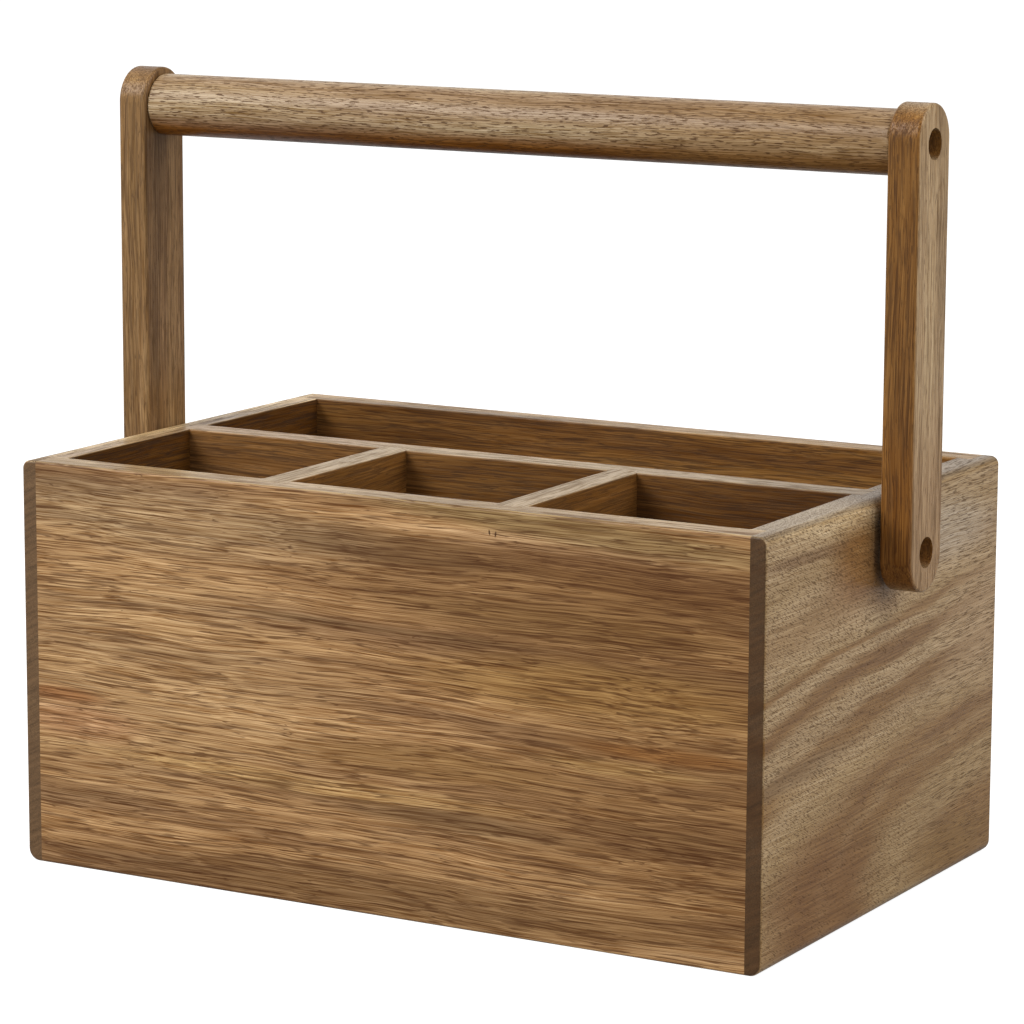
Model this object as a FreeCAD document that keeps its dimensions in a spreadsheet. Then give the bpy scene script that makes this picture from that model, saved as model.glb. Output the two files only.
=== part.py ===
import FreeCAD, Part
import Sketcher
import math
import os

# A wooden utensil caddy: an open box of glued boards with three bays in front and one long
# bay behind, and a handle that swings on a screw at each end of the box.
# Millimetres. +X runs along the box to its right end, -Y is the front, +Z is up.
# The origin is the middle of the box's underside.

# Driving dimensions: name, value in millimetres, what it is.
DIMENSIONS = [
    ("box_length", 300, "outside length of the box, over both end boards"),
    ("box_depth", 192, "outside depth of the box, front to back"),
    ("box_height", 149, "height of every wall"),
    ("end_thick", 12, "thickness of the end boards"),
    ("wall_thick", 12, "thickness of the front and back panels"),
    ("divider_thick", 12, "thickness of the partition and the dividers"),
    ("divider_offset", 48, "middle of the box to the middle of a divider"),
    ("base_thick", 6, "thickness of the base panel"),
    ("base_lift", 4, "underside of the base panel above the ground"),
    ("rabbet_depth", 6, "how far the long panels reach into the end boards"),
    ("groove_depth", 5, "how far the base panel reaches into the walls"),
    ("housing_depth", 4, "how far the partition and dividers are let into their neighbours"),
    ("top_round", 3, "round along the outer top edge of an end board"),
    ("foot_round", 4.5, "round along the outer bottom edge of an end board"),
    ("board_arris", 1, "round along the other outer edges of the box"),
    ("rim_ease", 0.6, "round along the inner top edges"),
    ("pivot_height", 130, "handle pivot above the ground"),
    ("pivot_to_grip", 141, "handle pivot to the middle of the grip"),
    ("arm_thick", 12, "thickness of a handle arm"),
    ("arm_wide", 25.5, "width of a handle arm"),
    ("arm_margin", 14, "middle of a screw hole to the end of the arm"),
    ("arm_ease", 1.2, "round along the edges of a handle arm"),
    ("grip_dia", 23, "diameter of the grip"),
    ("grip_ease", 1, "round at the ends of the grip"),
    ("bore_dia", 11, "diameter of the counterbores in the arms"),
    ("bore_depth", 7.6, "depth of the counterbores in the arms"),
    ("spacer_thick", 2, "thickness of the spacer between an arm and the box"),
    ("spacer_dia", 14, "outside diameter of the spacer"),
    ("washer_thick", 0.8, "thickness of the washer under a pivot screw's head"),
    ("washer_dia", 10.2, "outside diameter of that washer"),
    ("face_play", 0.1, "gap between an arm and each face it turns against"),
    ("pivot_dia", 5, "diameter of a pivot screw"),
    ("pivot_play", 0.08, "radial play of an arm on its pivot screw"),
    ("hole_play", 0.15, "radial play of every other part on its screw"),
    ("grip_screw_dia", 4, "diameter of a grip screw"),
    ("grip_screw_reach", 30, "how far a grip screw goes into the grip"),
    ("thread_bite", 0.3, "radial bite of a screw thread in what holds it"),
    ("insert_dia", 8, "outside diameter of the threaded inserts"),
    ("tip_gap", 1, "end of a screw to the end of the hole it is in"),
    ("point_long", 4, "length of a grip screw's point"),
    ("point_dia", 1, "blunt end of a grip screw's point"),
    ("head_dia", 9, "diameter of the screw heads"),
    ("head_tall", 2.4, "height of the screw heads"),
    ("head_round", 1.2, "round at the edge of the screw heads"),
    ("recess_long", 5, "length of the cross recess in a screw head"),
    ("recess_wide", 1.1, "width of the cross recess"),
    ("recess_deep", 1.3, "depth of the cross recess"),
]

# Planes that several sub-parts share, as expressions of the sizes.
BASE_TOP = "(sizes.base_lift + sizes.base_thick)"
INNER_X = "(sizes.box_length / 2 - sizes.end_thick)"
INNER_Y = "(sizes.box_depth / 2 - sizes.wall_thick)"
HALF_DIVIDER = "(sizes.divider_thick / 2)"
INSERT_LENGTH = "(sizes.end_thick - sizes.housing_depth)"
ARM_X = "(sizes.box_length / 2 + sizes.spacer_thick + sizes.face_play)"
BORE_FLOOR = "(sizes.arm_thick - sizes.bore_depth)"
WASHER_X = "(" + ARM_X + " + " + BORE_FLOOR + " + sizes.face_play)"
GRIP_HEIGHT = "(sizes.pivot_height + sizes.pivot_to_grip)"

# Cuts that open through a face run this far past it.
PAST = 5

# Left-hand pieces are the right-hand ones turned half round about Z.
NO_TURN = FreeCAD.Rotation()
QUARTER_TURN = FreeCAD.Rotation(FreeCAD.Vector(0, 0, 1), 90)
HALF_TURN = FreeCAD.Rotation(FreeCAD.Vector(0, 0, 1), 180)
SIDES = [("right", NO_TURN, ""), ("left", HALF_TURN, "-")]

doc = FreeCAD.newDocument("utensil_caddy")
sizes = doc.addObject("Spreadsheet::Sheet", "sizes")
for row, (name, value, note) in enumerate(DIMENSIONS, start=1):
    sizes.set("A%d" % row, note)
    sizes.set("B%d" % row, str(value))
    sizes.setAlias("B%d" % row, name)
doc.recompute()

bodies = []


def value_of(expression):
    """The number that an expression of the sizes comes to."""
    return float(sizes.evalExpression(expression.replace("sizes.", "")))


def same(a, b):
    """Whether two lengths agree to a thousandth of a millimetre."""
    return abs(a - b) < 1e-3


# ---- Bodies, sketches and features --------------------------------------------------------

def new_body(label, turn=NO_TURN, x="0", y="0", z="0"):
    """A body for one sub-part, turned about Z and moved to its place."""
    body = doc.addObject("PartDesign::Body", label)
    body.Label = label
    body.Placement = FreeCAD.Placement(FreeCAD.Vector(), turn)
    body.setExpression("Placement.Base.x", x)
    body.setExpression("Placement.Base.y", y)
    body.setExpression("Placement.Base.z", z)
    bodies.append(body)
    return body


def new_sketch(body, name, plane, lift="0"):
    """A sketch on one of the body's own origin planes, lifted along that plane's normal.
    An XZ sketch's normal is -Y and a YZ sketch's normal is +X."""
    sketch = body.newObject("Sketcher::SketchObject", body.Label + "_" + name)
    planes = {item.Role: item for item in body.Origin.OriginFeatures}
    sketch.AttachmentSupport = (planes[plane], [""])
    sketch.MapMode = "FlatFace"
    sketch.setExpression("AttachmentOffset.Base.z", lift)
    return sketch


def drive(sketch, expression, kind, *where):
    """Dimension a sketch and tie the dimension to the sizes."""
    value = value_of(expression)
    index = sketch.addConstraint(Sketcher.Constraint(kind, *where, value))
    sketch.setExpression("Constraints[%d]" % index, expression)


def outline(sketch, points):
    """A closed outline of straight lines through points given as pairs of expressions."""
    first = sketch.GeometryCount
    count = len(points)
    corners = [FreeCAD.Vector(value_of(x), value_of(y), 0) for x, y in points]
    for i in range(count):
        sketch.addGeometry(Part.LineSegment(corners[i], corners[(i + 1) % count]), False)
    for i in range(count):
        following = first + (i + 1) % count
        sketch.addConstraint(Sketcher.Constraint("Coincident", first + i, 2, following, 1))
    for i, (x, y) in enumerate(points):
        drive(sketch, x, "DistanceX", -1, 1, first + i, 1)
        drive(sketch, y, "DistanceY", -1, 1, first + i, 1)


def rectangle(sketch, left, low, right, high):
    """A rectangle given by the place of each side, measured from the sketch's origin."""
    outline(sketch, [(left, low), (right, low), (right, high), (left, high)])


def circle(sketch, diameter, height="0"):
    """A circle on the sketch's upright axis, at a height above its origin."""
    index = sketch.GeometryCount
    centre = FreeCAD.Vector(0, value_of(height), 0)
    ring = Part.Circle(centre, FreeCAD.Vector(0, 0, 1), value_of(diameter) / 2)
    sketch.addGeometry(ring, False)
    sketch.addConstraint(Sketcher.Constraint("PointOnObject", index, 3, -2))
    drive(sketch, height, "DistanceY", -1, 1, index, 3)
    drive(sketch, diameter, "Diameter", index)


def pad(body, sketch, length, against=False, both_ways=False):
    """Extrude a sketch along its normal, against it, or half each way."""
    doc.recompute()
    feature = body.newObject("PartDesign::Pad", sketch.Label + "_pad")
    feature.Profile = sketch
    feature.Reversed = against
    feature.Midplane = both_ways
    feature.setExpression("Length", length)
    doc.recompute()


def pocket(body, sketch, depth, along=False, both_ways=False):
    """Cut a sketch out of the body against its normal, along it, or half each way."""
    doc.recompute()
    volume_before = body.Shape.Volume
    feature = body.newObject("PartDesign::Pocket", sketch.Label + "_pocket")
    feature.Profile = sketch
    feature.Reversed = along
    feature.Midplane = both_ways
    feature.setExpression("Length", depth)
    doc.recompute()
    if body.Shape.Volume > volume_before - 1e-6:
        raise RuntimeError(feature.Label + " cuts nothing")


def round_edges(body, name, radius, *tests):
    """Fillet each edge whose ends all pass one of the tests, in the body's own frame."""
    before = body.Tip
    chosen = []
    for index, edge in enumerate(before.Shape.Edges, start=1):
        ends = [vertex.Point for vertex in edge.Vertexes]
        if any(all(test(point) for point in ends) for test in tests):
            chosen.append("Edge%d" % index)
    if not chosen:
        raise RuntimeError(body.Label + " has no edge to round for " + name)
    feature = body.newObject("PartDesign::Fillet", body.Label + "_" + name)
    feature.Base = (before, chosen)
    feature.setExpression("Radius", "sizes." + radius)
    doc.recompute()


# ---- End boards ---------------------------------------------------------------------------

def make_end_board(side, turn, sign):
    """A board that closes one end of the box. In its own frame its inner face is at x = 0.
    A rabbet down each upright edge takes a long panel, a groove takes the base panel and a
    housing takes the end of the partition."""
    body = new_body(side + "_end_board", turn, x=sign + INNER_X)
    half_depth = "(sizes.box_depth / 2)"
    above = "(sizes.box_height + %d)" % PAST

    face = new_sketch(body, "face", "YZ_Plane")
    rectangle(face, "-" + half_depth, "0", half_depth, "sizes.box_height")
    pad(body, face, "sizes.end_thick")

    edge_y = value_of(half_depth)
    top = value_of("sizes.box_height")
    outside = value_of("sizes.end_thick")
    round_edges(body, "top_edge", "top_round", lambda p: same(p.x, outside) and same(p.z, top))
    round_edges(body, "foot_edge", "foot_round", lambda p: same(p.x, outside) and same(p.z, 0))
    round_edges(body, "upright_edges", "board_arris",
                lambda p: same(p.x, outside) and same(p.y, edge_y),
                lambda p: same(p.x, outside) and same(p.y, -edge_y))

    rabbets = new_sketch(body, "rabbets", "YZ_Plane")
    beyond = "(sizes.box_depth / 2 + %d)" % PAST
    rectangle(rabbets, INNER_Y, "-%d" % PAST, beyond, above)
    rectangle(rabbets, "-" + beyond, "-%d" % PAST, "-" + INNER_Y, above)
    pocket(body, rabbets, "sizes.rabbet_depth", along=True)

    groove = new_sketch(body, "groove", "YZ_Plane")
    rectangle(groove, "-" + INNER_Y, "sizes.base_lift", INNER_Y, BASE_TOP)
    pocket(body, groove, "sizes.groove_depth", along=True)

    housing = new_sketch(body, "housing", "YZ_Plane")
    rectangle(housing, "-" + HALF_DIVIDER, BASE_TOP, HALF_DIVIDER, above)
    pocket(body, housing, "sizes.housing_depth", along=True)
    round_edges(body, "inner_rim", "rim_ease", lambda p: same(p.x, 0) and same(p.z, top))

    insert_hole = new_sketch(body, "insert_hole", "YZ_Plane")
    circle(insert_hole, "sizes.insert_dia - 2 * sizes.thread_bite", "sizes.pivot_height")
    pocket(body, insert_hole, "sizes.end_thick + %d" % PAST, along=True)


# ---- Boards let into their neighbours at both ends ----------------------------------------

def make_tongued_board(body, inner_length, tongue, thick, low, eased_faces):
    """A board along its own X, about its middle, from y = 0 to its thickness. The tongues at
    its ends go into a rabbet or a housing, and its eased top edges stop short of them."""
    half = "(" + inner_length + " / 2)"
    end = "(" + inner_length + " / 2 + " + tongue + ")"
    middle = new_sketch(body, "middle", "XZ_Plane")
    rectangle(middle, "-" + half, low, half, "sizes.box_height")
    pad(body, middle, thick, against=True)

    top = value_of("sizes.box_height")
    for number, face in enumerate(eased_faces, start=1):
        face_y = value_of(face)
        round_edges(body, "inner_rim_%d" % number, "rim_ease",
                    lambda p: same(p.y, face_y) and same(p.z, top))

    tongues = new_sketch(body, "tongues", "XZ_Plane")
    rectangle(tongues, half, low, end, "sizes.box_height")
    rectangle(tongues, "-" + end, low, "-" + half, "sizes.box_height")
    pad(body, tongues, thick, against=True)


def cut_divider_housings(body, face, along):
    """A housing for each divider, let into the face of a board at y = face."""
    housings = new_sketch(body, "housings", "XZ_Plane", "-" + face)
    above = "(sizes.box_height + %d)" % PAST
    for middle in ("sizes.divider_offset", "-sizes.divider_offset"):
        left = middle + " - " + HALF_DIVIDER
        right = middle + " + " + HALF_DIVIDER
        rectangle(housings, left, BASE_TOP, right, above)
    pocket(body, housings, "sizes.housing_depth", along=along)


def make_long_panel(label, turn, sign, takes_dividers):
    """The front or back panel. In its own frame its outer face is at y = 0."""
    body = new_body(label, turn, y=sign + "sizes.box_depth / 2")
    make_tongued_board(body, "2 * " + INNER_X, "sizes.rabbet_depth", "sizes.wall_thick",
                       "0", ["sizes.wall_thick"])
    if takes_dividers:
        cut_divider_housings(body, "sizes.wall_thick", along=True)

    groove = new_sketch(body, "groove", "YZ_Plane")
    floor = "(sizes.wall_thick - sizes.groove_depth)"
    open_side = "(sizes.wall_thick + %d)" % PAST
    rectangle(groove, floor, "sizes.base_lift", open_side, BASE_TOP)
    pocket(body, groove, "sizes.box_length", both_ways=True)

    top = value_of("sizes.box_height")
    round_edges(body, "outer_arris", "board_arris",
                lambda p: same(p.y, 0) and same(p.z, top),
                lambda p: same(p.y, 0) and same(p.z, 0))


def make_partition():
    """The long partition between the front bays and the rear bay."""
    body = new_body("long_partition", y="-" + HALF_DIVIDER)
    make_tongued_board(body, "2 * " + INNER_X, "sizes.housing_depth", "sizes.divider_thick",
                       BASE_TOP, ["0", "sizes.divider_thick"])
    cut_divider_housings(body, "0", along=False)


def make_divider(side, sign):
    """A short divider between two front bays, from the front panel to the partition."""
    length = "(" + INNER_Y + " - " + HALF_DIVIDER + ")"
    middle_y = "-(" + INNER_Y + " + " + HALF_DIVIDER + ") / 2"
    body = new_body(side + "_divider", QUARTER_TURN,
                    x=sign + "sizes.divider_offset + " + HALF_DIVIDER, y=middle_y)
    make_tongued_board(body, length, "sizes.housing_depth", "sizes.divider_thick",
                       BASE_TOP, ["0", "sizes.divider_thick"])


def make_base_panel():
    """The base panel, held in grooves all round."""
    body = new_body("base_panel")
    reach_x = "(" + INNER_X + " + sizes.groove_depth)"
    reach_y = "(" + INNER_Y + " + sizes.groove_depth)"
    face = new_sketch(body, "face", "XY_Plane", "sizes.base_lift")
    rectangle(face, "-" + reach_x, "-" + reach_y, reach_x, reach_y)
    pad(body, face, "sizes.base_thick")


# ---- Handle -------------------------------------------------------------------------------

def arm_outline(sketch):
    """A bar with round ends. The sketch's origin is the pivot, and the arm points up."""
    half_wide = value_of("sizes.arm_wide / 2")
    round_offset = "(sizes.arm_margin - sizes.arm_wide / 2)"
    low = "-" + round_offset
    high = "(sizes.pivot_to_grip + " + round_offset + ")"
    z_low = value_of(low)
    z_high = value_of(high)
    up = FreeCAD.Vector(0, 0, 1)
    corners = [FreeCAD.Vector(half_wide * side, z, 0)
               for side, z in ((1, z_low), (1, z_high), (-1, z_high), (-1, z_low))]
    top_round = Part.Circle(FreeCAD.Vector(0, z_high, 0), up, half_wide)
    foot_round = Part.Circle(FreeCAD.Vector(0, z_low, 0), up, half_wide)
    sketch.addGeometry(Part.LineSegment(corners[0], corners[1]), False)
    sketch.addGeometry(Part.ArcOfCircle(top_round, 0, math.pi), False)
    sketch.addGeometry(Part.LineSegment(corners[2], corners[3]), False)
    sketch.addGeometry(Part.ArcOfCircle(foot_round, math.pi, 2 * math.pi), False)
    for i in range(4):
        sketch.addConstraint(Sketcher.Constraint("Tangent", i, 2, (i + 1) % 4, 1))
    for arc, height in ((1, high), (3, low)):
        sketch.addConstraint(Sketcher.Constraint("PointOnObject", arc, 3, -2))
        drive(sketch, height, "DistanceY", -1, 1, arc, 3)
    sketch.addConstraint(Sketcher.Constraint("Vertical", 0))
    drive(sketch, "sizes.arm_wide / 2", "Radius", 1)


def counterbored_hole(body, name, diameter, height):
    """A screw hole through an arm, counterbored from its outer face."""
    spot = new_sketch(body, name, "YZ_Plane", "sizes.arm_thick")
    circle(spot, diameter, height)
    doc.recompute()
    volume_before = body.Shape.Volume
    hole = body.newObject("PartDesign::Hole", body.Label + "_" + name + "_bore")
    hole.Profile = spot
    hole.ThreadType = "None"
    hole.DepthType = "ThroughAll"
    hole.HoleCutType = "Counterbore"
    hole.setExpression("Diameter", diameter)
    hole.setExpression("HoleCutDiameter", "sizes.bore_dia")
    hole.setExpression("HoleCutDepth", "sizes.bore_depth")
    doc.recompute()
    if body.Shape.Volume > volume_before - 1e-6:
        raise RuntimeError(hole.Label + " cuts nothing")


def make_arm(side, turn, sign):
    """A handle arm. In its own frame the pivot is the origin and its inner face is x = 0."""
    body = new_body(side + "_handle_arm", turn, x=sign + ARM_X, z="sizes.pivot_height")
    face = new_sketch(body, "face", "YZ_Plane")
    arm_outline(face)
    pad(body, face, "sizes.arm_thick")
    outside = value_of("sizes.arm_thick")
    round_edges(body, "eased_edges", "arm_ease",
                lambda p: same(p.x, 0), lambda p: same(p.x, outside))
    counterbored_hole(body, "pivot_hole", "sizes.pivot_dia + 2 * sizes.pivot_play", "0")
    counterbored_hole(body, "grip_hole", "sizes.grip_screw_dia + 2 * sizes.hole_play",
                      "sizes.pivot_to_grip")


def make_grip():
    """The round grip between the arms, with a pilot hole for a screw in each end."""
    body = new_body("handle_grip", z=GRIP_HEIGHT)
    section = new_sketch(body, "section", "YZ_Plane")
    circle(section, "sizes.grip_dia")
    pad(body, section, "2 * " + ARM_X, both_ways=True)
    end_x = value_of(ARM_X)
    round_edges(body, "ends", "grip_ease",
                lambda p: same(p.x, end_x), lambda p: same(p.x, -end_x))
    for side, turn, sign in SIDES:
        pilot = new_sketch(body, side + "_pilot", "YZ_Plane", sign + ARM_X)
        circle(pilot, "sizes.grip_screw_dia - 2 * sizes.thread_bite")
        pocket(body, pilot, "sizes.grip_screw_reach + sizes.tip_gap", along=side == "left")


# ---- Screws, washers, spacers and inserts -------------------------------------------------

def make_screw(body, shank):
    """A pan-head screw along X. Its head sits on x = 0 and its shank runs towards -X: shank
    is the outline from the shank's end on the axis to where it meets the head."""
    profile = new_sketch(body, "profile", "XZ_Plane")
    head_radius = "sizes.head_dia / 2"
    head = [("0", head_radius), ("sizes.head_tall", head_radius), ("sizes.head_tall", "0")]
    outline(profile, shank + head)
    doc.recompute()
    turned = body.newObject("PartDesign::Revolution", body.Label + "_turned")
    turned.Profile = profile
    turned.ReferenceAxis = (profile, ["H_Axis"])
    turned.Angle = 360
    doc.recompute()
    crown = value_of("sizes.head_tall")
    round_edges(body, "crown", "head_round", lambda p: same(p.x, crown))
    half_long = "sizes.recess_long / 2"
    half_wide = "sizes.recess_wide / 2"
    for name, across, up in (("slot", half_long, half_wide), ("cross", half_wide, half_long)):
        recess = new_sketch(body, name, "YZ_Plane", "sizes.head_tall")
        rectangle(recess, "-" + across, "-" + up, across, up)
        pocket(body, recess, "sizes.recess_deep")


def make_pivot_screw(side, turn, sign):
    """The screw that an arm turns on, held by the threaded insert in the end board."""
    seat = "(" + WASHER_X + " + sizes.washer_thick)"
    body = new_body(side + "_pivot_screw", turn, x=sign + seat, z="sizes.pivot_height")
    insert_end = "(sizes.box_length / 2 - " + INSERT_LENGTH + ")"
    tip = "-(" + seat + " - " + insert_end + " - sizes.tip_gap)"
    radius = "sizes.pivot_dia / 2"
    make_screw(body, [(tip, "0"), (tip, radius), ("0", radius)])


def make_grip_screw(side, turn, sign):
    """The screw that holds an arm to the end of the grip."""
    seat = "(" + ARM_X + " + " + BORE_FLOOR + ")"
    body = new_body(side + "_grip_screw", turn, x=sign + seat, z=GRIP_HEIGHT)
    tip = "-(" + BORE_FLOOR + " + sizes.grip_screw_reach)"
    radius = "sizes.grip_screw_dia / 2"
    make_screw(body, [(tip, "0"), (tip, "sizes.point_dia / 2"),
                      (tip + " + sizes.point_long", radius), ("0", radius)])


def make_ring(label, turn, sign, start_x, thick, outer, inner):
    """A flat ring round the pivot, from start_x outwards."""
    body = new_body(label, turn, x=sign + start_x, z="sizes.pivot_height")
    face = new_sketch(body, "face", "YZ_Plane")
    circle(face, outer)
    circle(face, inner)
    pad(body, face, thick)


def make_pivot_hardware(side, turn, sign):
    """Everything on one pivot: screw, washer, spacer and threaded insert."""
    make_pivot_screw(side, turn, sign)
    loose_bore = "sizes.pivot_dia + 2 * sizes.hole_play"
    make_ring(side + "_pivot_washer", turn, sign, WASHER_X,
              "sizes.washer_thick", "sizes.washer_dia", loose_bore)
    make_ring(side + "_spacer", turn, sign, "(sizes.box_length / 2)",
              "sizes.spacer_thick", "sizes.spacer_dia", loose_bore)
    insert_x = "(sizes.box_length / 2 - " + INSERT_LENGTH + ")"
    make_ring(side + "_threaded_insert", turn, sign, insert_x, INSERT_LENGTH,
              "sizes.insert_dia", "sizes.pivot_dia - 2 * sizes.thread_bite")


# ---- The assembly -------------------------------------------------------------------------

make_base_panel()
make_long_panel("front_panel", NO_TURN, "-", takes_dividers=True)
make_long_panel("back_panel", HALF_TURN, "", takes_dividers=False)
make_partition()
make_divider("right", "")
make_divider("left", "-")
make_grip()
for side, turn, sign in SIDES:
    make_end_board(side, turn, sign)
    make_arm(side, turn, sign)
    make_grip_screw(side, turn, sign)
    make_pivot_hardware(side, turn, sign)
doc.recompute()

for item in doc.Objects:
    if "Invalid" in item.State or "Error" in item.State:
        raise RuntimeError(item.Label + " failed: " + ", ".join(item.State))
for body in bodies:
    if body.Shape.isNull() or not body.Shape.isValid() or len(body.Shape.Solids) != 1:
        raise RuntimeError(body.Label + " is not one sound solid")

os.makedirs("parts", exist_ok=True)
for body in bodies:
    body.Shape.exportStep("parts/" + body.Label + ".step")
    print(body.Label, round(body.Shape.Volume, 1))
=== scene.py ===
"""Looks of the utensil caddy: oiled acacia boards, a round grip and small metal and nylon fittings."""
import math

import bpy
from mathutils import Matrix, Vector

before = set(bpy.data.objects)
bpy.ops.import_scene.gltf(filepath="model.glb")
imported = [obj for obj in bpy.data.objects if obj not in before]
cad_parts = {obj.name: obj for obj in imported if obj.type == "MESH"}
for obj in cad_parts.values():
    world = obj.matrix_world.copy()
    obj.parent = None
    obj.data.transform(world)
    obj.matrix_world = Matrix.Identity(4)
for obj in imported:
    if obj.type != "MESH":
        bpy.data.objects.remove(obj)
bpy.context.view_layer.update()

MM = 0.001
WHITE = "#FFFFFF"

# Where the camera stands and how it is turned, in metres and degrees, then its lens and film in
# millimetres, and how near and how far it sees, in metres.
CAMERA_PLACE = (0.7329, -1.2854, 0.3947)
CAMERA_AZIMUTH = 29.71
CAMERA_ELEVATION = 10.18
CAMERA_ROLL = 0.244
CAMERA_LENS = 144.9
FILM_WIDTH = 36.0
CAMERA_SEES = (0.05, 50.0)

# The white room gives the object an even fill. The oil's sheen mirrors it dim on one side and bright on
# the other, and it changes softly between these two shares of the bright way.
ROOM_FILL = 0.62
ROOM_SHINE = (0.10, 1.0)
ROOM_BRIGHT_WAY = (-0.85, 0.5, 0.15)
ROOM_TURNS = (0.3, 0.85)

# The floor: half its width in metres, its paint, and its lift to white where it is seen. The sheen
# mirrors it dimmer near the object than far from it, with a soft change between these metres.
FLOOR_HALF = 6.0
FLOOR_PAINT = "#A8A8A8"
FLOOR_LIFT = 0.86
FLOOR_SHINE = (0.12, 0.25)
FLOOR_TURNS = (0.25, 1.5)

# The lamps: name, place, width and height in metres, and watts. Both are aimed at the middle of the box.
LAMP_TARGET = (0.0, 0.0, 0.12)
LAMPS = (
    ("key_softbox", (-0.9, -1.15, 1.25), 0.9, 0.9, 24.0),
    ("side_softbox", (1.7, 0.3, 1.3), 1.8, 1.8, 27.0),
)

# A Mix node's sockets for numbers and for colours have the same names, so they are taken by their places.
NUMBER_A, NUMBER_B, NUMBER_MIXED = 2, 3, 0
COLOUR_A, COLOUR_B, COLOUR_MIXED = 6, 7, 2

# So are those of a Map Range node that works on colours.
COLOUR_IN, FROM_LOW, FROM_HIGH, TO_LOW, TO_HIGH, COLOUR_OUT = 6, 7, 8, 9, 10, 1

# A noise lies about a half, and most of it between these two.
NOISE_MIDDLE = 0.5
NOISE_LOW = 0.25
NOISE_HIGH = 0.75


def linear(hex_colour):
    """An sRGB hex colour as the linear red, green, blue and alpha that Blender takes."""
    parts = [int(hex_colour[i:i + 2], 16) / 255 for i in (1, 3, 5)]
    return [p / 12.92 if p <= 0.04045 else ((p + 0.055) / 1.055) ** 2.4 for p in parts] + [1.0]


def add(tree, kind, inputs=None, stops=None, **settings):
    """Adds a node with its settings. An input is a node's output or a plain value, and stops fill a ramp."""
    node = tree.nodes.new(kind)
    for name, value in settings.items():
        setattr(node, name, value)
    for name, value in (inputs or {}).items():
        if isinstance(value, bpy.types.NodeSocket):
            tree.links.new(value, node.inputs[name])
        else:
            node.inputs[name].default_value = value
    if stops:
        ramp = node.color_ramp.elements
        ramp.remove(ramp[1])
        ramp[0].position, ramp[0].color = stops[0][0], linear(stops[0][1])
        for place, colour in stops[1:]:
            ramp.new(place).color = linear(colour)
    return node


def new_material(name):
    """An empty material and its node tree."""
    material = bpy.data.materials.new(name)
    material.use_nodes = True
    material.node_tree.nodes.clear()
    return material, material.node_tree


# ----------------------------------------------------------------------------------------------------------
# Acacia, planed, sanded and wiped with oil. That gives the eye soft bands of pale and brown wood, fine
# fibres and small dark open vessels along the grain, darker stippled ends and a low sheen. It is drawn as
# solid wood, so the same grain runs through every face of a board. Lengths are in millimetres.
# ----------------------------------------------------------------------------------------------------------

# The growth bands: how long and wide, and the part of the noise that they spread over.
BAND_LONG = 240.0
BAND_WIDE = 12.0
BAND_SPREAD = (0.30, 0.70)

# How far the fibres sway sideways as they grow, and the length and width of each sway.
SWAY = 7.0
SWAY_LONG = 120.0
SWAY_WIDE = 36.0

# Fibres and the coarser cords of them: length, width and how much they darken and pale the wood. The real
# ones, like the vessels below, are 0.15 to 0.3 mm across. They are drawn wider, so that they still show
# at this distance.
FIBRE_LONG, FIBRE_WIDE, FIBRE_DEPTH = 34.0, 0.42, 0.56
CORD_LONG, CORD_WIDE, CORD_DEPTH = 102.0, 1.47, 0.15

# Oil darkens a dark fibre's blue most and its red least, so dark wood is redder and pale wood greyer. No
# fibre loses more than this share of its colour.
FIBRE_SWING = (1.0, 1.27, 1.75)
MOST_LOST = 0.9

# Open vessels crowd together in patches of this length and width. CROWD_PULL is how much commoner they
# are there, and VESSEL_SOFTNESS is how softly each one starts.
CROWD_LONG, CROWD_WIDE = 48.0, 3.6
CROWD_PULL = 0.08
VESSEL_SOFTNESS = 0.06

# Pale rings are more porous, from the first brightness up to the second, and crowd their vessels as much
# as a patch does.
PALE_RING = (0.12, 0.26)
PALE_RING_PULL = 0.8

# Rows of vessels that a face cuts lengthwise: how many times longer than apart they are, how wide they
# are drawn, and the noise's slope at its middle, which turns that width into a share of the noise.
ROW_STRETCH = 45
ROW_WIDE = 0.24
NOISE_SLOPE = 0.36

# The rows come and go in patches of this length and width. They are thinnest below the first share of the
# patches' noise and at full width above the second.
FADE_LONG, FADE_WIDE = 26.0, 1.2
FADE_TURNS = (0.44, 0.58)
THINNEST = 0.0005

# The noise of the vessels is taken this far from that of the fibres, so that the two don't match.
VESSEL_SHIFT = (311.0, 57.0, 91.0)

# Vessels that lie flat in the face are this many times longer than those that slope through it.
LYING_STRETCH = 3.0

# How much the rings wobble, as a share of their reach, and the length and width of each wobble.
RING_WOBBLE = 0.07
WOBBLE_LONG, WOBBLE_WIDE = 60.0, 9.0

# A streak fades out over this outer share of its reach. Like a ring, it runs right through the board.
STREAK_FADE = 0.7
THROUGH = 1e4

# The cut ends: their rings' slope in degrees, width and length, and the open vessels' depth, width and
# strength. Where the two together go from the first share to the second, the tone is taken from the
# darkest shade to the palest.
END_SLOPE = 28
END_RING_WIDE, END_RING_LONG = 1.6, 18
END_DOT_DEEP, END_DOT_WIDE, END_DOT_STRENGTH = 0.8, 0.5, 0.35
END_SPREAD = (0.45, 0.90)
END_SHADE = (0.62, 1.38)

# The ways that a face can look, and how squarely it has to look there before its own tone starts, and
# before it is all there.
UP = (0, 0, 1)
FORWARD = (0, -1, 0)
RIGHT = (1, 0, 0)
# The grip's underside, where painted shade darkens it.
GRIP_SHADED_UNDERSIDE = (0, -0.26, -0.97)
FACE_TURNS = (0.45, 0.9)
EDGE_TURNS = (0.3, 0.8)
END_TURNS = (0.55, 0.95)

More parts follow.
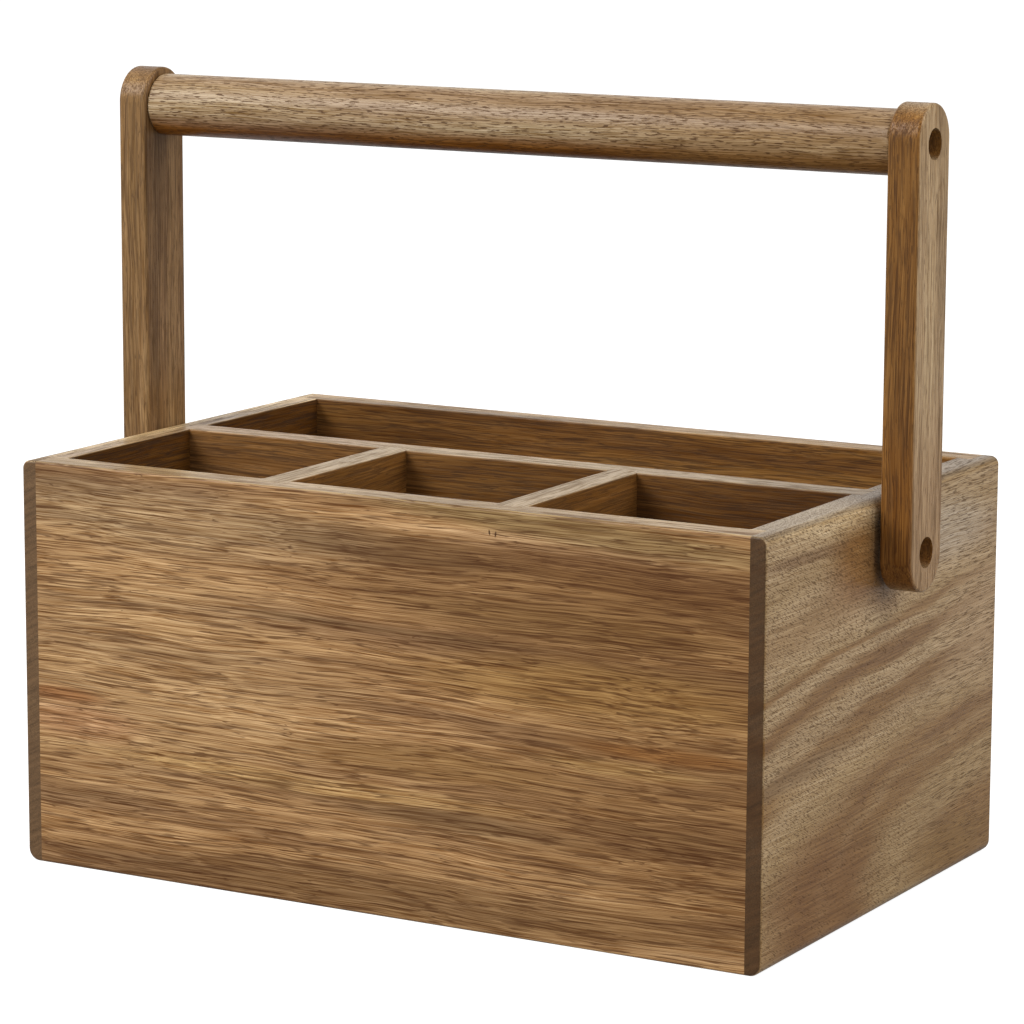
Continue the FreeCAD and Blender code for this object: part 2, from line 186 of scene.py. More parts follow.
# Dried oil has an IOR near 1.47. Here most of it has soaked in, so it shines less than a closed film: a
# lower IOR and a low sheen. The open vessels stay duller, and the fibres stand this high between them.
OIL_IOR = 1.40
OIL_SHEEN = 0.3
OIL_ROUGHNESS = 0.32
VESSEL_ROUGHNESS = 0.57
RELIEF = 0.06 * MM
RELIEF_STRENGTH = 0.35


def stretched_noise(tree, place, long, wide, detail=2.0, roughness=0.5):
    """A noise whose lumps are so many millimetres long and wide."""
    scaled = add(tree, "ShaderNodeVectorMath", {0: place, 1: (1 / long, 1 / wide, 1 / wide)},
                 operation="MULTIPLY").outputs[0]
    return add(tree, "ShaderNodeTexNoise",
               {"Vector": scaled, "Scale": 1.0, "Detail": detail, "Roughness": roughness})


def facing_share(tree, way, turns):
    """How much the surface looks that way: 0 where it starts to turn there, 1 where it is all there."""
    normal = add(tree, "ShaderNodeTexCoord").outputs["Normal"]
    toward = add(tree, "ShaderNodeVectorMath", {0: normal, 1: way}, operation="DOT_PRODUCT")
    return add(tree, "ShaderNodeMapRange",
               {"Value": toward.outputs["Value"], "From Min": turns[0], "From Max": turns[1]},
               interpolation_type="SMOOTHSTEP").outputs[0]


def grain_place(tree, grain, start):
    """Millimetres along the grain, across it and through the board: straight, and as the fibres sway."""
    place = add(tree, "ShaderNodeTexCoord").outputs["Object"]
    split = add(tree, "ShaderNodeSeparateXYZ", {0: place}).outputs
    turned = add(tree, "ShaderNodeCombineXYZ", {i: split[axis] for i, axis in enumerate(grain)}).outputs[0]
    straight = add(tree, "ShaderNodeVectorMath", {0: turned, 1: (1 / MM,) * 3, 2: start},
                   operation="MULTIPLY_ADD").outputs[0]
    bend = stretched_noise(tree, straight, SWAY_LONG, SWAY_WIDE, 3.0).outputs["Color"]
    centred = add(tree, "ShaderNodeVectorMath", {0: bend, 1: (NOISE_MIDDLE,) * 3},
                  operation="SUBTRACT").outputs[0]
    swayed = add(tree, "ShaderNodeVectorMath", {0: centred, 1: (0, SWAY, SWAY), 2: straight},
                 operation="MULTIPLY_ADD").outputs[0]
    return straight, swayed


def growth_bands(tree, place, tones):
    """The board's broad colour: soft growth bands, from its palest tone to its darkest."""
    bands = stretched_noise(tree, place, BAND_LONG, BAND_WIDE, 3.0).outputs["Fac"]
    spread = add(tree, "ShaderNodeMapRange",
                 {"Value": bands, "From Min": BAND_SPREAD[0], "From Max": BAND_SPREAD[1]}).outputs[0]
    steps = [(i / (len(tones) - 1), tone) for i, tone in enumerate(tones)]
    return add(tree, "ShaderNodeValToRGB", {0: spread}, stops=steps).outputs[0]


def growth_rings(tree, place, colour, rings):
    """A colour with the arches of growth rings laid over it, and how porous they are."""
    (along, across), stretch, share, tones = rings
    reach = tones[-1][0]
    size = (stretch * reach, reach, THROUGH)
    spot = add(tree, "ShaderNodeMapping", {"Vector": place, "Location": (along, across, 0), "Scale": size},
               vector_type="TEXTURE").outputs[0]
    apart = add(tree, "ShaderNodeVectorMath", {0: spot}, operation="LENGTH").outputs["Value"]
    wobble = stretched_noise(tree, place, WOBBLE_LONG, WOBBLE_WIDE, 3.0).outputs["Fac"]
    radius = add(tree, "ShaderNodeMath", {0: wobble, 1: RING_WOBBLE, 2: apart},
                 operation="MULTIPLY_ADD").outputs[0]
    middle = NOISE_MIDDLE * RING_WOBBLE
    stops = [(middle + (1 - middle) * r / reach, tone) for r, tone in tones]
    layers = add(tree, "ShaderNodeValToRGB", {0: radius}, stops=stops).outputs[0]
    mixed = add(tree, "ShaderNodeMix", {0: share, COLOUR_A: colour, COLOUR_B: layers},
                data_type="RGBA").outputs[COLOUR_MIXED]
    grey = add(tree, "ShaderNodeRGBToBW", {0: layers}).outputs[0]
    porous = add(tree, "ShaderNodeMapRange",
                 {"Value": grey, "From Min": PALE_RING[0], "From Max": PALE_RING[1]}).outputs[0]
    return mixed, porous


def streak_over(tree, place, colour, streak):
    """A colour with one soft streak laid over it."""
    (along, across), (half_long, half_wide), slope, tone, share = streak
    spot = add(tree, "ShaderNodeMapping",
               {"Vector": place, "Location": (along, across, 0), "Rotation": (0, 0, math.radians(slope)),
                "Scale": (half_long, half_wide, THROUGH)}, vector_type="TEXTURE").outputs[0]
    soft = add(tree, "ShaderNodeTexGradient", {0: spot}, gradient_type="SPHERICAL").outputs["Fac"]
    part = add(tree, "ShaderNodeMapRange", {"Value": soft, "From Max": STREAK_FADE, "To Max": share},
               interpolation_type="SMOOTHSTEP").outputs[0]
    return add(tree, "ShaderNodeMix", {0: part, COLOUR_A: colour, COLOUR_B: linear(tone)},
               data_type="RGBA").outputs[COLOUR_MIXED]


def shaded_by(tree, colour, noise, depth):
    """A colour, darkened and paled by a noise of fibres."""
    darker = tuple(1 - min(MOST_LOST, depth * swing) for swing in FIBRE_SWING)
    paler = tuple(1 + depth * swing for swing in FIBRE_SWING)
    shade = add(tree, "ShaderNodeMapRange",
                {COLOUR_IN: noise, FROM_LOW: (NOISE_LOW,) * 3, FROM_HIGH: (NOISE_HIGH,) * 3,
                 TO_LOW: darker, TO_HIGH: paler}, data_type="FLOAT_VECTOR").outputs[COLOUR_OUT]
    return add(tree, "ShaderNodeVectorMath", {0: colour, 1: shade}, operation="MULTIPLY").outputs[0]


def pore_lines(tree, place, long, wide, rarity, crowding):
    """Open vessels cut by the face: dark dashes along the grain, dots where the grain is cut across."""
    vessels = stretched_noise(tree, place, long, wide, 1.5).outputs["Fac"]
    edge = add(tree, "ShaderNodeMath", {0: crowding, 1: -CROWD_PULL, 2: rarity},
               operation="MULTIPLY_ADD").outputs[0]
    core = add(tree, "ShaderNodeMath", {0: edge, 1: VESSEL_SOFTNESS}, operation="ADD").outputs[0]
    return add(tree, "ShaderNodeMapRange", {"Value": vessels, "From Min": edge, "From Max": core},
               interpolation_type="SMOOTHSTEP").outputs[0]


def vessel_row(tree, place, apart, fading):
    """Rows of vessels that the face cuts lengthwise: long thin dark lines that wander and fade out."""
    layers = stretched_noise(tree, place, apart * ROW_STRETCH, apart, 1.0).outputs["Fac"]
    off = add(tree, "ShaderNodeMath", {0: layers, 1: NOISE_MIDDLE}, operation="SUBTRACT").outputs[0]
    away = add(tree, "ShaderNodeMath", {0: off}, operation="ABSOLUTE").outputs[0]
    half = add(tree, "ShaderNodeMapRange",
               {"Value": fading, "From Min": FADE_TURNS[0], "From Max": FADE_TURNS[1], "To Min": THINNEST,
                "To Max": NOISE_SLOPE * ROW_WIDE / apart}).outputs[0]
    return add(tree, "ShaderNodeMapRange",
               {"Value": away, "From Min": half, "From Max": 0.0, "To Min": 0.0, "To Max": 1.0},
               interpolation_type="SMOOTHSTEP").outputs[0]


def lying_vessels(tree, place, shifted, crowding, long, wide, rarity, rows):
    """The vessels of a board whose grain lies in its face: short dashes, and long rows between them."""
    vessels = pore_lines(tree, place, long, wide, rarity, crowding)
    fading = stretched_noise(tree, shifted, FADE_LONG, FADE_WIDE).outputs["Fac"]
    for apart in rows:
        row = vessel_row(tree, shifted, apart, fading)
        vessels = add(tree, "ShaderNodeMath", {0: vessels, 1: row}, operation="MAXIMUM").outputs[0]
    return vessels


def turning_vessels(tree, straight, place, shifted, crowding, long, wide, rarity, turn):
    """The vessels of a board whose grain turns out of its face: sloping at one end, lying at the other."""
    slope, slopes_until, lies_from = turn
    slanted = add(tree, "ShaderNodeVectorRotate", {"Vector": place, "Angle": math.radians(slope)},
                  rotation_type="Z_AXIS").outputs[0]
    along = add(tree, "ShaderNodeSeparateXYZ", {0: straight}).outputs[0]
    level = add(tree, "ShaderNodeMapRange",
                {"Value": along, "From Min": slopes_until, "From Max": lies_from},
                interpolation_type="SMOOTHSTEP").outputs[0]
    sloping = pore_lines(tree, slanted, long, wide, rarity, crowding)
    lying = pore_lines(tree, shifted, long * LYING_STRETCH, wide, rarity, crowding)
    return add(tree, "ShaderNodeMix", {0: level, NUMBER_A: sloping, NUMBER_B: lying}).outputs[NUMBER_MIXED]


def end_grain(tree, place, tone):
    """The dark end of the boards: growth rings crossing it at a slant, stippled with open vessels."""
    tilted = add(tree, "ShaderNodeVectorRotate", {"Vector": place, "Angle": math.radians(END_SLOPE)},
                 rotation_type="X_AXIS").outputs[0]
    thin = add(tree, "ShaderNodeVectorMath", {0: tilted, 1: (0.0, 1 / END_RING_WIDE, 1 / END_RING_LONG)},
               operation="MULTIPLY").outputs[0]
    layers = add(tree, "ShaderNodeTexNoise",
                 {"Vector": thin, "Scale": 1.0, "Detail": 3.0, "Roughness": 0.6}).outputs["Fac"]
    dots = stretched_noise(tree, place, END_DOT_DEEP, END_DOT_WIDE, 1.0).outputs["Fac"]
    both = add(tree, "ShaderNodeMath", {0: dots, 1: END_DOT_STRENGTH, 2: layers},
               operation="MULTIPLY_ADD").outputs[0]
    shade = add(tree, "ShaderNodeMapRange",
                {"Value": both, "From Min": END_SPREAD[0], "From Max": END_SPREAD[1],
                 "To Min": END_SHADE[0], "To Max": END_SHADE[1]}).outputs[0]
    return add(tree, "ShaderNodeVectorMath", {0: linear(tone)[:3], "Scale": shade},
               operation="SCALE").outputs[0]


def end_share(tree, grain, most):
    """How much the surface cuts the grain across, up to the most that the cut end's look may take."""
    normal = add(tree, "ShaderNodeTexCoord").outputs["Normal"]
    size = add(tree, "ShaderNodeVectorMath", {0: normal}, operation="ABSOLUTE").outputs[0]
    across = add(tree, "ShaderNodeSeparateXYZ", {0: size}).outputs[grain[0]]
    return add(tree, "ShaderNodeMapRange",
               {"Value": across, "From Min": END_TURNS[0], "From Max": END_TURNS[1], "To Max": most},
               interpolation_type="SMOOTHSTEP").outputs[0]


def wood(name, grain, start, tones, other_way=None, other_tones=(), rings=None, streaks=(), lines=1.0,
         pore_tone="#3E2816", pore_long=13.0, pore_wide=0.40, pore_rarity=0.62, pore_depth=0.8,
         pore_turn=None, rows=(2.7, 1.7, 1.1), end_tone="#644C34", end_most=0.9, edge_way=UP,
         edge_gain=(1.0, 1.0, 1.0)):
    """One board's acacia.

    grain: the axes that run along the grain, across it and through the board.
    start: where in the tree the board was cut, along those axes, so that no two boards are alike.
    tones: from the palest growth band to the darkest.
    other_way, other_tones: a way to look, and the growth bands of the face that looks there.
    rings, streaks: the board's own figure; some streaks are painted light and shade.
    lines: how strong the fibres are.
    pore_tone, pore_long, pore_wide, pore_rarity, pore_depth: the open vessels.
    pore_turn: where they slope through the face, if they do.
    rows: how far apart the long rows of vessels are.
    end_tone, end_most: the cut ends' tone, and how much of that look they take.
    edge_way, edge_gain: a way to look, and how much paler or darker that side is drawn in red, green
    and blue. On the boards' tops this is painted light and shade from above.
    """
    material, tree = new_material(name)
    straight, place = grain_place(tree, grain, start)
    shifted = add(tree, "ShaderNodeVectorMath", {0: place, 1: VESSEL_SHIFT}, operation="ADD").outputs[0]

    colour = growth_bands(tree, place, tones)
    if other_way:
        share = facing_share(tree, other_way, FACE_TURNS)
        others = growth_bands(tree, place, other_tones)
        colour = add(tree, "ShaderNodeMix", {0: share, COLOUR_A: colour, COLOUR_B: others},
                     data_type="RGBA").outputs[COLOUR_MIXED]
    crowding = stretched_noise(tree, place, CROWD_LONG, CROWD_WIDE).outputs["Fac"]
    if rings:
        colour, porous = growth_rings(tree, place, colour, rings)
        crowding = add(tree, "ShaderNodeMath", {0: porous, 1: PALE_RING_PULL, 2: crowding},
                       operation="MULTIPLY_ADD").outputs[0]
    for streak in streaks:
        colour = streak_over(tree, place, colour, streak)

    fibre = stretched_noise(tree, place, FIBRE_LONG, FIBRE_WIDE, 1.0, 0.6).outputs["Fac"]
    cord = stretched_noise(tree, place, CORD_LONG, CORD_WIDE, 2.0, 0.6).outputs["Fac"]
    colour = shaded_by(tree, colour, fibre, FIBRE_DEPTH * lines)
    colour = shaded_by(tree, colour, cord, CORD_DEPTH * lines)

    if pore_turn:
        pores = turning_vessels(tree, straight, place, shifted, crowding, pore_long, pore_wide, pore_rarity,
                                pore_turn)
    else:
        pores = lying_vessels(tree, place, shifted, crowding, pore_long, pore_wide, pore_rarity, rows)
    depth = add(tree, "ShaderNodeMath", {0: pores, 1: pore_depth}, operation="MULTIPLY").outputs[0]
    colour = add(tree, "ShaderNodeMix", {0: depth, COLOUR_A: colour, COLOUR_B: linear(pore_tone)},
                 data_type="RGBA").outputs[COLOUR_MIXED]

    cut = end_share(tree, grain, end_most)
    colour = add(tree, "ShaderNodeMix",
                 {0: cut, COLOUR_A: colour, COLOUR_B: end_grain(tree, straight, end_tone)},
                 data_type="RGBA").outputs[COLOUR_MIXED]
    edge = facing_share(tree, edge_way, EDGE_TURNS)
    colour = add(tree, "ShaderNodeMix", {0: edge, COLOUR_A: colour, COLOUR_B: (*edge_gain, 1.0)},
                 data_type="RGBA", blend_type="MULTIPLY").outputs[COLOUR_MIXED]

    dull = add(tree, "ShaderNodeMapRange",
               {"Value": pores, "To Min": OIL_ROUGHNESS, "To Max": VESSEL_ROUGHNESS}).outputs[0]
    height = add(tree, "ShaderNodeMath", {0: pores, 1: -1.0, 2: fibre}, operation="MULTIPLY_ADD").outputs[0]
    bump = add(tree, "ShaderNodeBump", {"Strength": RELIEF_STRENGTH, "Distance": RELIEF, "Height": height})
    shader = add(tree, "ShaderNodeBsdfPrincipled",
                 {"Base Color": colour, "Roughness": dull, "Normal": bump.outputs[0], "IOR": OIL_IOR,
                  "Specular IOR Level": OIL_SHEEN})
    add(tree, "ShaderNodeOutputMaterial", {0: shader.outputs[0]})
    return material


# The right end board's arches: their centre in millimetres along and up the board, how much longer than
# high they are, their share of the colour, and the tone at each distance from the centre.
RING_PALE, RING_TAN, RING_MID, RING_BROWN, RING_DARK = "#A48964", "#967A52", "#896A43", "#7A572B", "#6C4921"
RIGHT_RINGS = ((105, 12), 3.6, 0.8, (
    (0, RING_BROWN), (16, RING_BROWN), (25, RING_TAN), (33, RING_TAN), (38, RING_BROWN), (42, RING_BROWN),
    (44.5, RING_MID), (47, RING_BROWN), (49, RING_DARK), (51, RING_BROWN), (54, RING_MID), (59, RING_TAN),
    (66, RING_PALE), (71, RING_MID), (73, RING_BROWN), (77, RING_BROWN), (80, RING_PALE), (85, RING_PALE),
    (88, RING_BROWN), (89.5, RING_DARK), (92, RING_BROWN), (95, RING_PALE), (98.5, RING_PALE),
    (100, RING_BROWN), (101.5, RING_BROWN), (103, RING_TAN), (107, RING_PALE), (118, RING_MID),
    (125, RING_PALE), (131, RING_TAN), (140, RING_PALE)))

# A board's soft streaks: where each is in millimetres along and up the board, how far it reaches both
# ways, its slope in degrees, its tone and how much of that tone it takes.
RIGHT_STREAKS = (
    ((-45, 147), (60, 7), -2, "#C0A57D", 0.85),
    ((-58, 137), (70, 3), -1, "#705130", 0.7),
    # Painted shadow of the arm beside its foot, over darker wood.
    ((-22, 128), (36, 20), 0, "#7B542B", 0.8),
    # Darker low at the front: painted shade.
    ((-52, 16), (62, 32), 0, "#75502A", 0.7),
    ((92, 92), (62, 36), 2, "#9A7D5A", 0.8),
    ((-75, 64), (70, 6), 3, "#7B6345", 0.5),
    ((44, 130), (64, 16), -3, "#A8967F", 0.75),
    # Painted warm light over the arm's shadow under its foot.
    ((-2, 114), (17, 9), 0, "#8A5E2C", 0.4),
    ((60, 12), (50, 14), 0, "#7C5C2E", 0.6),
)

# The last two are a pair of small flecks under the top edge.
FRONT_STREAKS = (
    # Painted light over the left half of the board.
    ((-110, 75), (130, 62), 0, "#BC9767", 0.5),
    ((80, 144), (130, 7), -3, "#8C7045", 0.85),
    ((100, 130), (100, 12), -3, "#6B4727", 0.85),
    ((70, 112), (90, 8), -2, "#7D5E37", 0.7),
    ((85, 90), (100, 15), 0, "#A27A44", 0.8),
    ((116, 72), (50, 4), 0, "#945F2C", 0.7),
    ((96, 65), (45, 4), 0, "#B8915A", 0.8),
    ((-133, 64), (26, 4), 0, "#986133", 0.7),
    ((-128, 55), (40, 9), 0, "#B3855A", 0.8),
    ((-30, 44), (130, 5), -1, "#B8905A", 0.9),
    ((30, 37), (70, 5), -1, "#795B39", 0.7),
    ((20, 57), (80, 9), 0, "#8B6638", 0.7),
    ((10, 8), (170, 14), 1, "#7C5B36", 0.7),
    ((60, 118), (120, 22), -2, "#7E5930", 0.6),
    ((0, 132), (80, 9), -3, "#6A4A28", 0.7),
    ((-95, 133), (120, 18), -1, "#A18863", 0.45),
    # Painted shade over the right half of the board.
    ((140, 72), (130, 105), 0, "#704918", 0.35),
    ((45.4, 140.6), (0.5, 1.4), 8, "#3B230F", 0.95),
    ((47.8, 140.2), (0.5, 1.6), -6, "#3B230F", 0.95),
)

# The pale tones of the partition's and the dividers' tops: painted light and sheen from above.
PAINTED_LIGHT_TOP = ("#BCA078", "#B39771", "#AA906B", "#A08661", "#967C57")

# Every board: its pieces, its material's name and how it looks.
BOARDS = (
    # Flat-sawn: honey to the left and browner to the right, partly painted light and shade, with long
    # thin dark vessels all over, and a top painted paler by the light from above.
    (("front_panel",), "oiled_acacia_front_board", dict(
        grain="XZY", start=(0, 0, 0), tones=("#C49B6B", "#B78D5C", "#A37B4E", "#8A6641", "#6F5131"),
        other_way=UP, other_tones=("#B99C6E", "#AF9266", "#A6895E", "#9C8056", "#92764E"),
        streaks=FRONT_STREAKS,
        pore_tone="#4A2400", pore_long=24.0, pore_wide=0.30, pore_rarity=0.70, pore_depth=0.7)),
    # Like the front outside, with deep brown heartwood on the inner face, deepened by painted shade, and a
    # top tinted a little greyer as painted light.
    (("back_panel",), "oiled_acacia_back_board", dict(
        grain="XZY", start=(900, 400, 200), tones=("#C4996A", "#B58A5B", "#A1794D", "#886541", "#6D4F30"),
        other_way=FORWARD, other_tones=("#9C6F3C", "#906533", "#82582C", "#734C26", "#66411E"),
        lines=0.75, pore_depth=0.6, edge_gain=(0.95, 1.05, 1.05))),
    # Tan outside, dark heartwood inside deepened by painted shade, and a top painted much paler by the light
    # from above.
    (("left_end_board",), "oiled_acacia_left_end", dict(
        grain="YZX", start=(1700, 800, 100), tones=("#B99264", "#AA845A", "#9A764E", "#866542", "#705033"),
        other_way=RIGHT, other_tones=("#714B1E", "#674219", "#5B3815", "#503110", "#44270C"),
        lines=0.85, edge_gain=(1.85, 2.3, 2.8))),
    # Arched rings, greyish tan and brown, full of short vessels that slope at the front and lie flat
    # behind. Its top is drawn darker, as painted shade.
    (("right_end_board",), "oiled_acacia_right_end", dict(
        grain="YZX", start=(0, 0, 0), tones=("#A88A60", "#9B7D57", "#8F714C", "#816342", "#715434"),
        rings=RIGHT_RINGS, streaks=RIGHT_STREAKS, lines=0.6,
        pore_tone="#452C14", pore_long=2.2, pore_wide=0.37, pore_rarity=0.635, pore_depth=0.62,
        pore_turn=(24, 5, 60), end_tone="#462D17", edge_gain=(0.64, 0.66, 0.73))),
    # Brown heartwood, with painted light on the left, painted shade on the right and a top painted pale.
    (("long_partition",), "oiled_acacia_partition", dict(
        grain="XZY", start=(2600, 300, 500), tones=("#92683A", "#855D31", "#785229", "#6A4623", "#5C3B1C"),
        other_way=UP, other_tones=PAINTED_LIGHT_TOP,
        streaks=(((2490, 415), (110, 70), 0, "#94693C", 0.5), ((2710, 405), (120, 50), 0, "#5E3A18", 0.75)),
        lines=0.7, pore_depth=0.6)),
    # Brown heartwood with calm grain, and a pale top that is painted light from above.
    (("left_divider", "right_divider"), "oiled_acacia_divider", dict(
        grain="YZX", start=(3300, 700, 900), tones=("#956832", "#865A2B", "#754E23", "#65401D", "#533315"),
        other_way=UP, other_tones=PAINTED_LIGHT_TOP, lines=0.5, pore_depth=0.5)),
    # Plain brown wood, mostly in shade.
    (("base_panel",), "oiled_acacia_base", dict(
        grain="XYZ", start=(4100, 100, 700),
        tones=("#8E6B37", "#7F5B2E", "#704E26", "#5F401F", "#4F3418"))),
    # Brown upright grain, a little paler on the front side.
    (("left_handle_arm",), "oiled_acacia_left_arm", dict(
        grain="ZYX", start=(5200, 500, 300), tones=("#9A764B", "#8E6C44", "#82603B", "#765734", "#684A2C"),
        lines=0.75, pore_long=5.0, pore_rarity=0.63, pore_depth=0.5, end_most=0.15,
        edge_way=FORWARD, edge_gain=(1.14, 1.19, 1.22))),
    # Tan upright grain with a warmer foot, and deep orange brown on the front side.
    (("right_handle_arm",), "oiled_acacia_right_arm", dict(
        grain="ZYX", start=(6400, 900, 800), tones=("#AD916B", "#A48762", "#997D59", "#8E724F", "#806444"),
        streaks=(((6528, 900), (70, 90), 0, "#8C6A44", 0.7),),
        lines=0.75, pore_long=5.0, pore_rarity=0.63, pore_depth=0.5, end_most=0.15,
        edge_way=FORWARD, edge_gain=(0.69, 0.48, 0.226))),
    # A turned dowel: greyish tan and dashed with short vessels above, and painted shade below, as darker
    # saturated brown.
    (("handle_grip",), "oiled_acacia_grip", dict(
        grain="XZY", start=(7300, 200, 600), tones=("#AC9575", "#A38A68", "#9B805F", "#8F7354", "#806445"),
        other_way=GRIP_SHADED_UNDERSIDE, other_tones=("#9C6625", "#8D581E", "#7C4B18", "#693C11", "#572F0B"),
        streaks=(((7410, 462), (90, 30), 0, "#8B6A40", 0.55),), lines=0.9,
        pore_tone="#4E3014", pore_long=4.0, pore_wide=0.38, pore_rarity=0.60, pore_depth=0.85, rows=())),
)

# The small fittings: the size of their clouding in millimetres and its detail, their darker and paler
# tone, how rough they are where polished and where dull, and whether they are metal.
FITTINGS = {
    # Zinc-plated steel: bright grey with a soft shine, a little cloudy where the plating is thicker.
    "zinc_plated_steel": (1.1, 3.0, ("#BFC0C0", "#DADAD8"), (0.34, 0.50), 1.0),
    # Turned brass: yellow, with a fine flicker from the cutting tool.
    "turned_brass": (0.4, 1.0, ("#A9854A", "#C9A561"), (0.24, 0.40), 1.0),
    # Moulded nylon: milky white and faintly waxy.
    "moulded_nylon": (2.5, 2.0, ("#CFCBC0", "#DEDBD2"), (0.42, 0.55), 0.0),
}

# Their clouding is all dark below the first share of its noise and all pale above the second.
CLOUD_TURNS = (0.3, 0.7)


def fitting(name, cloud_wide, detail, tones, roughness, metallic):
    """A small fitting's plain material, clouded a little in tone and shine."""
    material, tree = new_material(name)
    place = add(tree, "ShaderNodeTexCoord").outputs["Object"]
    cloud = add(tree, "ShaderNodeTexNoise",
                {"Vector": place, "Scale": 1 / (cloud_wide * MM), "Detail": detail})
    cloudy = cloud.outputs["Fac"]
    colour = add(tree, "ShaderNodeValToRGB", {0: cloudy}, stops=tuple(zip(CLOUD_TURNS, tones))).outputs[0]
    dull = add(tree, "ShaderNodeMapRange",
               {"Value": cloudy, "To Min": roughness[0], "To Max": roughness[1]}).outputs[0]
    shader = add(tree, "ShaderNodeBsdfPrincipled",
                 {"Base Color": colour, "Metallic": metallic, "Roughness": dull})
    add(tree, "ShaderNodeOutputMaterial", {0: shader.outputs[0]})
    return material


def dress():
    """Gives every CAD piece its material."""
    looks = {}
    for nodes, name, board in BOARDS:
        material = wood(name, **board)
        for node in nodes:
            looks[node] = material
    small = {name: fitting(name, *values) for name, values in FITTINGS.items()}
    for side in ("left", "right"):
        for piece in ("pivot_screw", "grip_screw", "pivot_washer"):
            looks[f"{side}_{piece}"] = small["zinc_plated_steel"]
        looks[f"{side}_threaded_insert"] = small["turned_brass"]
        looks[f"{side}_spacer"] = small["moulded_nylon"]
    for node, material in looks.items():
        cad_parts[node].material_slots[0].material = material


# ----------------------------------------------------------------------------------------------------------
# The studio
# ----------------------------------------------------------------------------------------------------------

def seen_share(tree):
    """1 for what the camera sees, straight on or in a reflection, and 0 for the light on the object."""
    path = add(tree, "ShaderNodeLightPath").outputs
    either = add(tree, "ShaderNodeMath", {0: path["Is Camera Ray"], 1: path["Is Glossy Ray"]},
                 operation="MAXIMUM").outputs[0]
    return add(tree, "ShaderNodeMath", {0: either, 1: path["Is Transmission Ray"]},
               operation="MAXIMUM").outputs[0]


def make_room():
    """A white room: white where it is seen, a softer fill where it lights the object."""
    world = bpy.data.worlds.new("white_room")
    bpy.context.scene.world = world
    world.use_nodes = True
    tree = world.node_tree
    tree.nodes.clear()
    way = add(tree, "ShaderNodeTexCoord").outputs["Generated"]
    toward = add(tree, "ShaderNodeVectorMath", {0: way, 1: ROOM_BRIGHT_WAY}, operation="DOT_PRODUCT")
    shine = add(tree, "ShaderNodeMapRange",
                {"Value": toward.outputs["Value"], "From Min": ROOM_TURNS[0], "From Max": ROOM_TURNS[1],
                 "To Min": ROOM_SHINE[0], "To Max": ROOM_SHINE[1]}).outputs[0]
    glossy = add(tree, "ShaderNodeLightPath").outputs["Is Glossy Ray"]
    seen = add(tree, "ShaderNodeMix", {0: glossy, NUMBER_A: 1.0, NUMBER_B: shine}).outputs[NUMBER_MIXED]
    strength = add(tree, "ShaderNodeMix",
                   {0: seen_share(tree), NUMBER_A: ROOM_FILL, NUMBER_B: seen}).outputs[NUMBER_MIXED]
    light = add(tree, "ShaderNodeBackground", {"Color": linear(WHITE), "Strength": strength})
    add(tree, "ShaderNodeOutputWorld", {0: light.outputs[0]})


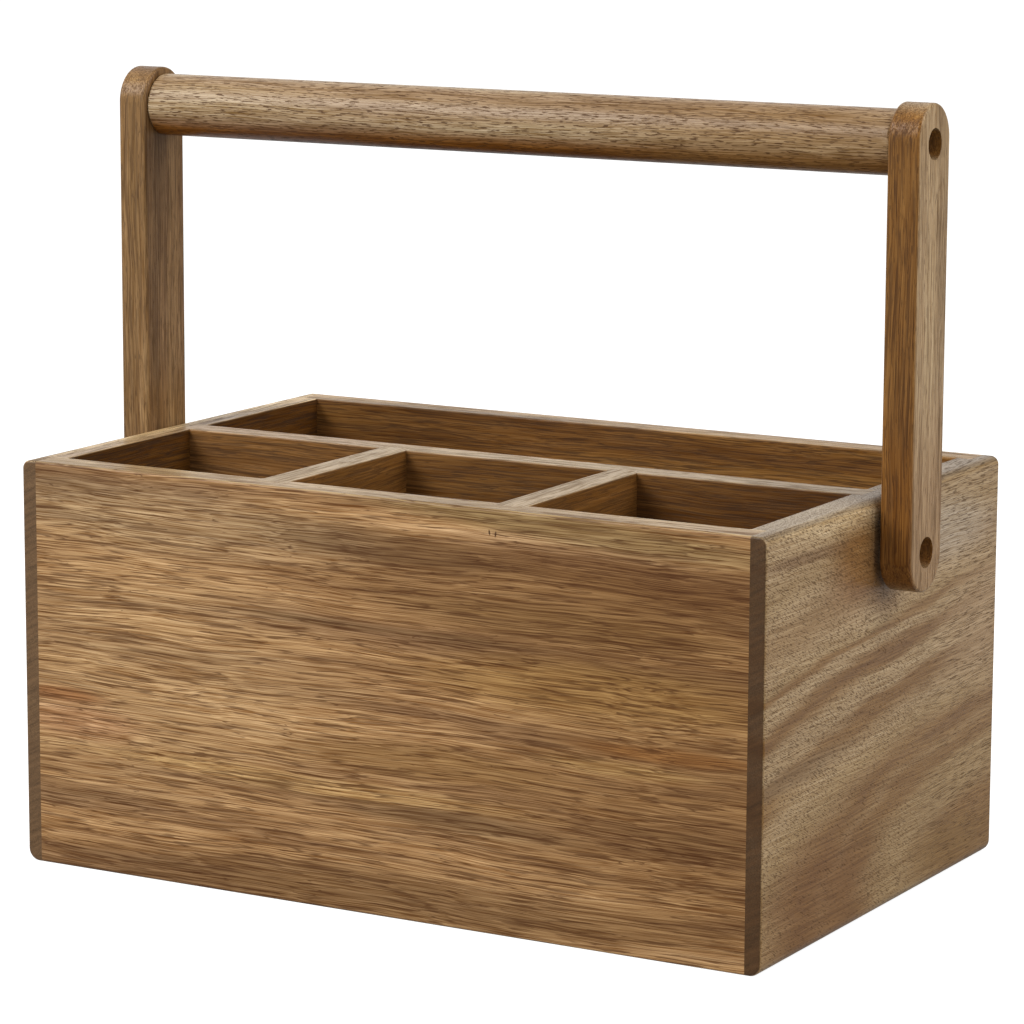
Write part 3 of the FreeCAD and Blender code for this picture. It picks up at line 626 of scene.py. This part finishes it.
def make_floor():
    """A plain painted floor, lifted to white where it is seen, that still takes the object's shadow."""
    mesh = bpy.data.meshes.new("studio_floor")
    corners = [(-FLOOR_HALF, -FLOOR_HALF, 0), (FLOOR_HALF, -FLOOR_HALF, 0), (FLOOR_HALF, FLOOR_HALF, 0),
               (-FLOOR_HALF, FLOOR_HALF, 0)]
    mesh.from_pydata(corners, [], [(0, 1, 2, 3)])
    floor = bpy.data.objects.new("studio_floor", mesh)
    bpy.context.scene.collection.objects.link(floor)
    material, tree = new_material("matt_painted_floor")
    paint = add(tree, "ShaderNodeBsdfDiffuse", {"Color": linear(FLOOR_PAINT)})
    place = add(tree, "ShaderNodeNewGeometry").outputs["Position"]
    apart = add(tree, "ShaderNodeVectorMath", {0: place}, operation="LENGTH").outputs["Value"]
    shine = add(tree, "ShaderNodeMapRange",
                {"Value": apart, "From Min": FLOOR_TURNS[0], "From Max": FLOOR_TURNS[1],
                 "To Min": FLOOR_SHINE[0], "To Max": FLOOR_SHINE[1]}).outputs[0]
    glossy = add(tree, "ShaderNodeLightPath").outputs["Is Glossy Ray"]
    seen = add(tree, "ShaderNodeMix",
               {0: glossy, NUMBER_A: FLOOR_LIFT, NUMBER_B: shine}).outputs[NUMBER_MIXED]
    strength = add(tree, "ShaderNodeMath", {0: seen_share(tree), 1: seen}, operation="MULTIPLY").outputs[0]
    lift = add(tree, "ShaderNodeEmission", {"Color": linear(WHITE), "Strength": strength})
    both = add(tree, "ShaderNodeAddShader", {0: paint.outputs[0], 1: lift.outputs[0]})
    add(tree, "ShaderNodeOutputMaterial", {0: both.outputs[0]})
    mesh.materials.append(material)


def make_lamps():
    """The soft lamps, each a flat panel aimed at the object and not seen itself."""
    for name, place, width, height, watts in LAMPS:
        light = bpy.data.lights.new(name, "AREA")
        light.shape = "RECTANGLE"
        light.size = width
        light.size_y = height
        light.energy = watts
        lamp = bpy.data.objects.new(name, light)
        lamp.location = place
        lamp.rotation_euler = (Vector(LAMP_TARGET) - Vector(place)).to_track_quat("-Z", "Y").to_euler()
        lamp.visible_camera = False
        bpy.context.scene.collection.objects.link(lamp)


def make_camera():
    """The camera, turned by its azimuth, elevation and roll."""
    lens = bpy.data.cameras.new("camera")
    lens.lens = CAMERA_LENS
    lens.sensor_width = FILM_WIDTH
    lens.clip_start, lens.clip_end = CAMERA_SEES
    camera = bpy.data.objects.new("camera", lens)
    azimuth = math.radians(CAMERA_AZIMUTH)
    elevation = math.radians(CAMERA_ELEVATION)
    ahead = Vector((-math.sin(azimuth) * math.cos(elevation), math.cos(azimuth) * math.cos(elevation),
                    -math.sin(elevation)))
    roll = Matrix.Rotation(math.radians(CAMERA_ROLL), 3, "Z")
    turn = ahead.to_track_quat("-Z", "Y").to_matrix() @ roll
    camera.matrix_world = Matrix.Translation(CAMERA_PLACE) @ turn.to_4x4()
    bpy.context.scene.collection.objects.link(camera)
    bpy.context.scene.camera = camera


make_camera()
make_room()
make_floor()
make_lamps()
dress()
bpy.context.scene.view_settings.view_transform = "Standard"
